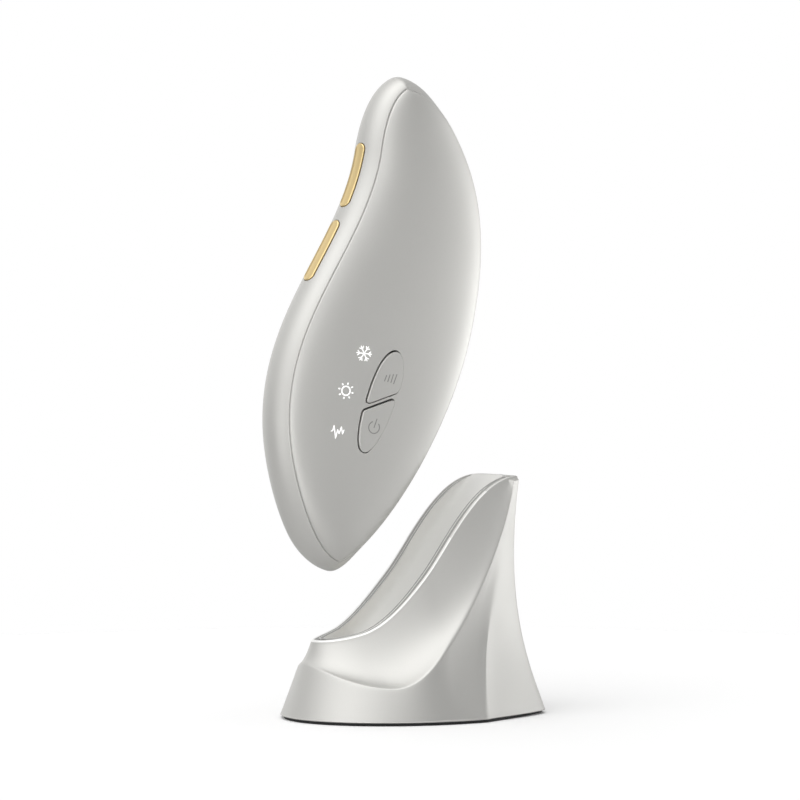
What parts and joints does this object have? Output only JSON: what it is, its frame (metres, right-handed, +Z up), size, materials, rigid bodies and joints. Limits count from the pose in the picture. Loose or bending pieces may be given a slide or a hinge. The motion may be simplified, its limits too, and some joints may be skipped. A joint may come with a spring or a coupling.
{
  "type": "facial toning device",
  "caption": "Hand-held facial toning device with two edge electrodes, two push buttons and icon lights, lifted over its charging cradle stand.",
  "frame": {"origin": "on the floor under the stand, in the middle plane of the device and the cradle, 37.5 mm behind the stand's front lip", "axes": "+X from the stand's low front lip to its tall rear wall, +Z up, -Y towards the side of the device with the buttons"},
  "size_m": [0.0799, 0.056, 0.1725],
  "materials": {
    "silver_paint": "satin",
    "stand_paint": "satin",
    "gold_plate": "polished",
    "icon_white": "gloss",
    "clear_guide": "clear",
    "black_plastic": "matte",
    "board": "solder resist",
    "cell": "film sleeve",
    "ceramic": "ceramic plates",
    "bare_aluminium": "satin",
    "silicone": "matte",
    "foot_rubber": "matte",
    "plain_steel": "satin"
  },
  "bodies": {
    "stand": {"stand_shell": "stand_paint", "trough_liner": "stand_paint", "base_plate": "black_plastic", "rubber_foot": "foot_rubber", "ballast": "plain_steel", "dock_board": "board", "usb_port": "plain_steel", "contact_block": "black_plastic", "base_screws": "plain_steel"},
    "device": {"front_shell": "silver_paint", "back_shell": "silver_paint", "edge_band": "silver_paint", "upper_electrode": "gold_plate", "lower_electrode": "gold_plate", "button_pad": "silicone", "icon_inlays": "icon_white", "icon_guide": "clear_guide", "control_board": "board", "battery": "cell", "cooler": "ceramic", "heat_spreader": "bare_aluminium", "heat_sink": "bare_aluminium", "body_frame": "black_plastic", "charge_pads": "gold_plate"},
    "mode_key": {"mode_button": "silver_paint"},
    "power_key": {"power_button": "silver_paint"},
    "near_pin": {"charge_pin_near": "gold_plate"},
    "far_pin": {"charge_pin_far": "gold_plate"}
  },
  "joints": [
    {"name": "device_lift", "type": "slide", "parent": "stand", "child": "device", "axis": [0.484, 0, -0.8751], "range_m": [0, 0.0204]},
    {"name": "mode_press", "type": "slide", "parent": "device", "child": "mode_key", "axis": [0, 1, 0], "range_m": [0, 0.00035], "stiffness_N_per_m": 500},
    {"name": "power_press", "type": "slide", "parent": "device", "child": "power_key", "axis": [0, 1, 0], "range_m": [0, 0.00035], "stiffness_N_per_m": 500},
    {"name": "near_pin_slide", "type": "slide", "parent": "stand", "child": "near_pin", "axis": [0.5555, 0, -0.8315], "range_m": [0, 0.0003], "stiffness_N_per_m": 400},
    {"name": "far_pin_slide", "type": "slide", "parent": "stand", "child": "far_pin", "axis": [0.5555, 0, -0.8315], "range_m": [0, 0.0003], "stiffness_N_per_m": 400}
  ]
}
